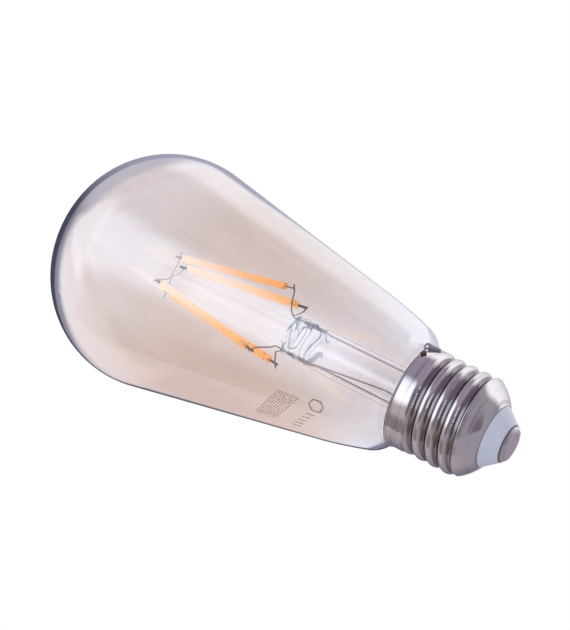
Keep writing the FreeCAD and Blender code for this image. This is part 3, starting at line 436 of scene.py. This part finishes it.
def phosphor(name, deep, pale):
    """Silicone full of phosphor over a row of chips: dots along it, painted paler towards the crown
    as a veil of reflected light.

    The painted veil is strongest on the right.  The solder pads under its lower end show through as
    dark marks.
    """
    material, s = new_material(name)
    here = s.place()
    painted_veil = s.step(here.height, coat_low.z, coat_high.z)
    veil_on_right = s.step(here.across, -2 * MM, 2 * MM)
    grains = s.speckle(2500, 3)
    chip_pitch = 1.43 * MM
    wave = s.math("SINE", s.product(here.height, 2 * math.pi / chip_pitch))
    dots = s.product(s.math("ADD", wave, 1.0), 0.5)
    # painted veil: the deep colour at the foot turns pale at the crown
    colour = s.blend(painted_veil, deep, pale)
    colour = s.blend(s.product(dots, 0.3), colour, tone(255, 222, 150))
    colour = s.blend(s.product(grains, 0.25), colour, deep)
    # painted veil of the glass's reflection, strongest on the right
    colour = s.blend(s.product(painted_veil, veil_on_right, 0.8), colour, tone(250, 226, 206))
    near_end = s.step(here.height, coat_low.z + 1.5 * MM, coat_low.z + 3.0 * MM, 1.0, 0.0)
    pads = s.product(near_end, s.step(s.speckle(900, 1), 0.5, 0.6), 0.5)
    colour = s.blend(pads, colour, tone(150, 84, 44))
    s.finish(s.principled(
        Base_Color=colour,
        Roughness=0.4,
        Subsurface_Weight=0.3,
        Subsurface_Radius=(1, 0.6, 0.3),
        Subsurface_Scale=0.4 * MM,
        # painted glow: the unlit coat gives off light in its own colour
        Emission_Color=colour,
        Emission_Strength=0.6,
        Normal=s.bump(grains, 0.15, 0.05 * MM),
    ))
    return material


# ---------------------------------------------------------------- other finishes


def mottled(name, light, dark, grain, roughness=0.5, relief=0.1, coat=0.0):
    """A moulded, cast or painted finish with uneven colour and a fine relief."""
    material, s = new_material(name)
    noise = s.speckle(grain, 4)
    s.finish(s.principled(
        Base_Color=s.blend(noise, light, dark),
        Roughness=s.step(noise, 0.3, 0.7, roughness * 0.85, roughness * 1.15),
        Coat_Weight=coat,
        Normal=s.bump(noise, relief, 0.05 * MM),
    ))
    return material


def insulator_plastic():
    """Pale blue-grey moulded plastic, darker in the seams at its two rims."""
    material, s = new_material("insulator_plastic")
    height = s.place().height
    clouds = s.speckle(250, 4)
    colour = s.blend(clouds, tone(201, 208, 220), tone(188, 196, 210))
    narrow, wide = 0.05 * MM, 0.3 * MM
    low_seam = s.step(height, insulator_foot + narrow, insulator_foot + wide, 1.0, 0.0)
    high_seam = s.step(height, shoulder_height - wide, shoulder_height - narrow)
    seams = s.math("MAXIMUM", low_seam, high_seam)
    colour = s.blend(s.product(seams, 0.75), colour, tone(84, 76, 84))
    normal = s.bump(clouds, 0.04, 0.05 * MM)
    s.finish(s.principled(Base_Color=colour, Roughness=0.3, Coat_Weight=0.3, Normal=normal))
    return material


def print_ink():
    """Worn grey-brown ink, let through in places."""
    material, s = new_material("print_ink")
    wear = s.speckle(1400, 3)
    colour = s.blend(wear, tone(170, 148, 138), tone(142, 122, 112))
    ink = s.principled(Base_Color=colour, Roughness=0.6)
    s.finish(s.mixed(s.step(wear, 0.3, 0.62, 0.2, 0.5), s.clear(), ink))
    return material


# Light and dark tone, grain and, where given, roughness, relief and coat of each plain finish.
MOTTLED_FINISHES = {
    "strip_ceramic": (tone(236, 230, 216), tone(220, 212, 196), 1500),
    "led_chip": (tone(226, 208, 120), tone(206, 186, 96), 3000, 0.2),
    "cement": (tone(206, 198, 182), tone(176, 166, 148), 900, 0.9, 0.6),
    "circuit_board": (tone(44, 112, 70), tone(34, 92, 56), 700, 0.35, 0.1, 0.4),
    "chip_package": (tone(44, 44, 48), tone(30, 30, 33), 2500, 0.55, 0.3),
    "capacitor_sleeve": (tone(34, 46, 62), tone(26, 36, 50), 400, 0.25, 0.05, 0.4),
    "ferrite": (tone(70, 68, 66), tone(50, 48, 46), 1500, 0.6, 0.3),
    "resistor_coat": (tone(118, 150, 166), tone(98, 130, 148), 900, 0.3, 0.1, 0.4),
    "chip_ceramic": (tone(176, 146, 112), tone(150, 122, 92), 2500),
    "sleeve_film": (tone(236, 230, 218), tone(222, 214, 200), 350, 0.45, 0.1),
}

# Light and dark tone, roughness, grain and, where given, stretch and relief of each plain metal.
METAL_FINISHES = {
    "seal_wire": (tone(150, 120, 110), tone(92, 72, 68), 0.45, 1200),
    "filament_tab": (tone(150, 142, 136), tone(90, 82, 78), 0.35, 1500),
    "solder": (tone(226, 224, 228), tone(170, 166, 172), 0.28, 900, (1, 1, 1), 0.5),
    "copper_winding": (tone(206, 120, 62), tone(150, 78, 36), 0.3, 1800, (0.05, 0.05, 1), 0.5),
    "pin_plate": (tone(222, 184, 104), tone(186, 148, 76), 0.25, 1500),
}

FINISHES = {
    "tinted_glass": tinted_glass(),
    "clear_glass": clear_glass(),
    "lead_wire": lead_wire(),
    "warm_phosphor": phosphor("warm_phosphor", tone(250, 176, 74), tone(255, 196, 116)),
    "pale_phosphor": phosphor("pale_phosphor", tone(253, 190, 100), tone(255, 222, 196)),
    "nickel_plate": nickel_plate(),
    "insulator_plastic": insulator_plastic(),
    "contact_metal": contact_metal(),
}
for slot_name, values in MOTTLED_FINISHES.items():
    FINISHES[slot_name] = mottled(slot_name, *values)
for slot_name, values in METAL_FINISHES.items():
    FINISHES[slot_name] = metal(slot_name, *values)

for entry in frame["record"]["subparts"]:
    for slot in nodes[entry["node"]].material_slots:
        slot.material = FINISHES[entry["material_slot"]]


# ---------------------------------------------------------------- print on the glass


def polar(radius, bearing, height):
    """A point by its distance from the axis, its bearing in degrees and its height."""
    angle = math.radians(bearing)
    return Vector((radius * math.cos(angle), radius * math.sin(angle), height))


def new_piece(name, mesh_builder, material):
    """An extra piece made in mesh code, riding on the lamp."""
    mesh = bpy.data.meshes.new(name)
    mesh_builder.to_mesh(mesh)
    mesh_builder.free()
    mesh.materials.append(material)
    piece = bpy.data.objects.new(name, mesh)
    bpy.context.scene.collection.objects.link(piece)
    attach(piece, "root")
    return piece


def read_glass_profile():
    """Heights and radii of the glass's outer skin, lowest first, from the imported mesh."""
    outline = {}
    for vertex in nodes["glass_envelope"].data.vertices:
        height = round(vertex.co.z, 5)
        radius = math.hypot(vertex.co.x, vertex.co.y)
        outline[height] = max(outline.get(height, 0.0), radius)
    rings = sorted(outline.items())
    near, within_skin = 0.4 * MM, 0.5 * MM

    def is_outer(height, radius):
        return all(
            abs(radius - other) < within_skin or radius > other
            for level, other in rings if abs(level - height) < near
        )

    return [ring for ring in rings if is_outer(*ring)]


GLASS_PROFILE = read_glass_profile()


def glass_radius_at(height):
    """Radius of the glass's outer skin at a height."""
    for (low, low_radius), (high, high_radius) in zip(GLASS_PROFILE, GLASS_PROFILE[1:]):
        if low <= height <= high:
            share = (height - low) / max(high - low, 1e-9)
            return low_radius + (high_radius - low_radius) * share
    return GLASS_PROFILE[-1][1]


def stroke_section(points, place, width):
    """The four corners of a stroke at one of its (bearing, height) points, square to its run."""
    lift, thick = 0.01 * MM, 0.02 * MM
    bearing, height = points[place]
    before = points[max(place - 1, 0)]
    after = points[min(place + 1, len(points) - 1)]
    radius = glass_radius_at(height)
    turn = math.radians(after[0] - before[0]) * radius
    climb = after[1] - before[1]
    length = math.hypot(turn, climb)
    side_turn = math.degrees(-climb / length * width / 2 / radius)
    side_climb = turn / length * width / 2
    for side, level in ((1, lift), (-1, lift), (-1, lift + thick), (1, lift + thick)):
        corner_height = height + side * side_climb
        corner_radius = glass_radius_at(corner_height) + level
        yield polar(corner_radius, bearing + side * side_turn, corner_height)


def ink_stroke(made, start, end, width):
    """A straight raised stroke of ink on the glass between two (bearing, height) points."""
    steps = 6
    points = [
        tuple(first + (last - first) * step / steps for first, last in zip(start, end))
        for step in range(steps + 1)
    ]
    rows = [
        [made.verts.new(corner) for corner in stroke_section(points, place, width)]
        for place in range(len(points))
    ]
    for first, second in zip(rows, rows[1:]):
        for index in range(4):
            following = (index + 1) % 4
            made.faces.new((first[index], first[following], second[following], second[index]))
    made.faces.new(rows[0][::-1])
    made.faces.new(rows[-1])


# The print's rows start at this bearing and climb by so much for each degree they run.
PRINT_START = -127.5
PRINT_CLIMB = 0.24 * MM


def on_row(bearing, height):
    """A point of a row that has a given height where the print starts."""
    return bearing, height + PRINT_CLIMB * (PRINT_START - bearing)


def add_dash_rows(made):
    """Rows of dashes of mixed lengths."""
    row_count, pitch, lowest = 9, 0.68 * MM, 47.7 * MM
    end_bearing, gap = -156.0, 1.1
    dashes = (4.0, 2.5, 5.5, 3.0, 2.0, 4.5)
    for row in range(row_count):
        height = lowest + row * pitch
        start = PRINT_START
        place = row
        while start > end_bearing:
            end = max(start - dashes[place % len(dashes)], end_bearing)
            ink_stroke(made, on_row(start, height), on_row(end, height), 0.26 * MM)
            start = end - gap
            place += 1


def add_bars(made):
    """A row of short upright bars."""
    bar_count, first_bearing, spacing = 5, -139.0, 4.4
    row_height, half_length = 41.8 * MM, 1.2 * MM
    for place in range(bar_count):
        bearing, middle = on_row(first_bearing - spacing * place, row_height)
        ends = (bearing, middle - half_length), (bearing, middle + half_length)
        ink_stroke(made, *ends, 0.4 * MM)


def add_hexagon(made):
    """The outline of a hexagon in front of the bars."""
    middle_bearing, middle_height, reach = -129.6, 43.2 * MM, 1.9 * MM
    degrees_per_metre = math.degrees(1 / glass_radius_at(middle_height))
    corners = []
    for corner in range(7):
        angle = math.radians(60 * corner + 30)
        bearing = middle_bearing + reach * math.cos(angle) * degrees_per_metre
        corners.append((bearing, middle_height + reach * math.sin(angle)))
    for start, end in zip(corners, corners[1:]):
        ink_stroke(made, start, end, 0.5 * MM)


def make_print():
    """Neutral print on the glass: rows of dashes, plain bars and a hexagon."""
    made = bmesh.new()
    add_dash_rows(made)
    add_bars(made)
    add_hexagon(made)
    bmesh.ops.recalc_face_normals(made, faces=made.faces)
    new_piece("glass_print", made, print_ink())


# ---------------------------------------------------------------- solder and flux


def make_solder():
    """The solder joint, melted smooth from the CAD's drop."""
    made = bmesh.new()
    made.from_mesh(nodes["side_solder"].data)
    solder = new_piece("solder_joint", made, FINISHES["solder"])
    remesh = solder.modifiers.new("melt", "REMESH")
    remesh.mode = "VOXEL"
    remesh.voxel_size = 0.1 * MM
    remesh.use_smooth_shade = True
    relax = solder.modifiers.new("relax", "SMOOTH")
    relax.iterations = 8
    swell = solder.modifiers.new("swell", "DISPLACE")
    swell.strength = 0.12 * MM
    swell.mid_level = 0.0
    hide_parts("side_solder")


def make_flux():
    """A lumpy bead of flux baked brown between the solder, the rim and the glass."""
    bearing = -39.0
    seat = polar(cap_high.x - 0.15 * MM, bearing, rim_height - 0.5 * MM)
    half_sizes = Vector((0.45, 1.1, 0.7)) * MM
    lumpiness = 0.16
    made = bmesh.new()
    bmesh.ops.create_icosphere(made, subdivisions=4, radius=1.0)
    outward = polar(1.0, bearing, 0.0)
    turn = outward.to_track_quat("X", "Z").to_matrix()
    for vertex in made.verts:
        wave = math.sin(5 * vertex.co.y + 2 * vertex.co.z) * math.cos(4 * vertex.co.z)
        vertex.co = turn @ (vertex.co * half_sizes * (1.0 + lumpiness * wave)) + seat
    for face in made.faces:
        face.smooth = True
    flux = mottled("flux", tone(92, 52, 34), tone(48, 28, 22), 1800, 0.2, 0.3, 0.6)
    new_piece("baked_flux", made, flux)


make_print()
make_solder()
make_flux()


# ---------------------------------------------------------------- studio


# Light and dark things round the lamp: each spans two bearings and two rises, the sines of
# its elevations, and has the tone that a mirror shows.
STUDIO_PATCHES = (
    ((-78, -14), (-0.82, 0.76), tone(156, 148, 166)),
    ((-136, -70), (-0.78, -0.04), tone(116, 108, 116)),
    ((-130, -10), (-1.2, -0.92), tone(116, 108, 120)),
    ((-140, -36), (0.74, 1.2), (1.15, 1.15, 1.18, 1.0)),
    ((11, 80), (-0.64, 0.58), (1.2, 1.19, 1.23, 1.0)),
    ((80, 102), (-0.1, 0.4), tone(255, 254, 255)),
    ((-200, -146), (-0.6, 0.7), tone(146, 134, 134)),
)


def room_tone(s, across, deep, rise):
    """The room behind the patches: grey, lighter in front on the left, dimmer below."""
    left_front = s.math("SUBTRACT", s.product(across, -0.7), s.product(deep, 0.5))
    colour = s.blend(s.step(left_front, -0.2, 0.7), tone(160, 152, 166), tone(196, 184, 186))
    return s.blend(s.step(rise, -0.2, -0.8), colour, tone(166, 160, 168))


def make_world():
    """The studio as metal and glass mirror it: a grey room with light and dark patches.

    Matt surfaces get even light, and the camera sees plain white.
    """
    world = bpy.data.worlds.new("studio")
    bpy.context.scene.world = world
    s = Shader(world)
    direction = s.new("TexCoord").outputs["Generated"]
    across, deep, rise = s.new("SeparateXYZ", {0: direction}).outputs
    bearing = s.product(s.math("ARCTAN2", deep, across), 180 / math.pi)

    def within(value, limits, softness):
        low, high = limits
        enter = s.step(value, low - softness, low + softness)
        leave = s.step(value, high - softness, high + softness, 1.0, 0.0)
        return s.product(enter, leave)

    colour = room_tone(s, across, deep, rise)
    for bearings, rises, patch in STUDIO_PATCHES:
        covered = s.product(within(bearing, bearings, 10), within(rise, rises, 0.1))
        colour = s.blend(covered, colour, patch)
    colour = s.blend(s.light_path("Is Diffuse Ray"), colour, tone(226, 224, 230))
    around = s.new("Background", {"Color": colour, "Strength": 1.0}).outputs[0]
    plain = s.new("Background", {"Color": WHITE, "Strength": 1.0}).outputs[0]
    s.finish(s.mixed(s.light_path("Is Camera Ray"), around, plain), "OutputWorld")


def soft_box(name, bearing, elevation, distance, width, height, radiance):
    """A soft-edged, slightly cool light aimed at the middle of the lamp, unseen by the camera."""
    aim = Vector((0, 0, (cad_box[0].z + cad_box[1].z) / 2))
    level = math.radians(elevation)
    away = polar(math.cos(level), bearing, math.sin(level))
    lamp = bpy.data.lights.new(name, "AREA")
    lamp.shape = "RECTANGLE"
    lamp.size = width
    lamp.size_y = height
    lamp.energy = radiance * math.pi * width * height
    lamp.color = (0.88, 1.0, 1.14)
    s = Shader(lamp)
    place = s.new("NewGeometry").outputs["Parametric"]
    strength = 1.0
    for along in s.new("SeparateXYZ", {0: place}).outputs[:2]:
        from_middle = s.math("ABSOLUTE", s.math("SUBTRACT", along, 0.5))
        strength = s.product(strength, s.step(from_middle, 0.2, 0.5, 1.0, 0.0))
    s.finish(s.new("Emission", {"Strength": strength}).outputs[0], "OutputLight")
    box = bpy.data.objects.new(name, lamp)
    box.location = aim + away * distance
    box.rotation_euler = away.to_track_quat("Z", "Y").to_euler()
    box.visible_camera = False
    bpy.context.scene.collection.objects.link(box)


def floor_paper():
    """Pale paper that the camera sees only from above, so that it never hides the cap."""
    material, s = new_material("floor_paper")
    colour = s.blend(s.speckle(900, 3), tone(246, 246, 248), tone(240, 240, 243))
    sheet = s.principled(Base_Color=colour, Roughness=0.9)
    underneath = s.new("NewGeometry").outputs["Backfacing"]
    seen = s.math("SUBTRACT", s.light_path("Is Camera Ray"), underneath)
    s.finish(s.mixed(s.math("MAXIMUM", seen, 0.0), s.clear(), sheet))
    return material


def make_floor():
    """A floor just under the contact."""
    half_width, gap = 3.0, 0.5 * MM
    level = cad_box[0].z - gap
    corners = [
        (x * half_width, y * half_width, level)
        for x, y in ((-1, -1), (1, -1), (1, 1), (-1, 1))
    ]
    mesh = bpy.data.meshes.new("floor")
    mesh.from_pydata(corners, [], [(0, 1, 2, 3)])
    mesh.materials.append(floor_paper())
    floor = bpy.data.objects.new("floor", mesh)
    bpy.context.scene.collection.objects.link(floor)


def make_camera():
    """A close view from in front of and below the cap, rolled so that the lamp lies down."""
    place = Vector((0.0, -340.18, -103.98)) * MM
    aim = Vector((3.88, 0.0, 69.50)) * MM
    roll = math.radians(-63.66)
    camera = bpy.data.objects.new("camera", bpy.data.cameras.new("camera"))
    camera.data.lens = 84.6
    camera.data.sensor_width = 36.0
    camera.data.clip_start = 10 * MM
    camera.location = place
    level = (aim - place).to_track_quat("-Z", "Y")
    camera.rotation_mode = "QUATERNION"
    camera.rotation_quaternion = level @ Quaternion((0, 0, 1), roll)
    bpy.context.scene.collection.objects.link(camera)
    bpy.context.scene.camera = camera


def set_light_paths():
    """Enough bounces for glass inside glass, plain display tones, no caustics."""
    scene = bpy.context.scene
    scene.view_settings.view_transform = "Standard"
    scene.cycles.max_bounces = 16
    scene.cycles.transmission_bounces = 14
    scene.cycles.transparent_max_bounces = 32
    scene.cycles.caustics_refractive = False
    scene.cycles.caustics_reflective = False
    scene.cycles.sample_clamp_indirect = 6


make_world()
soft_box("key_box", bearing=-88, elevation=21, distance=0.60, width=0.80, height=1.04, radiance=0.95)
make_floor()
make_camera()
set_light_paths()
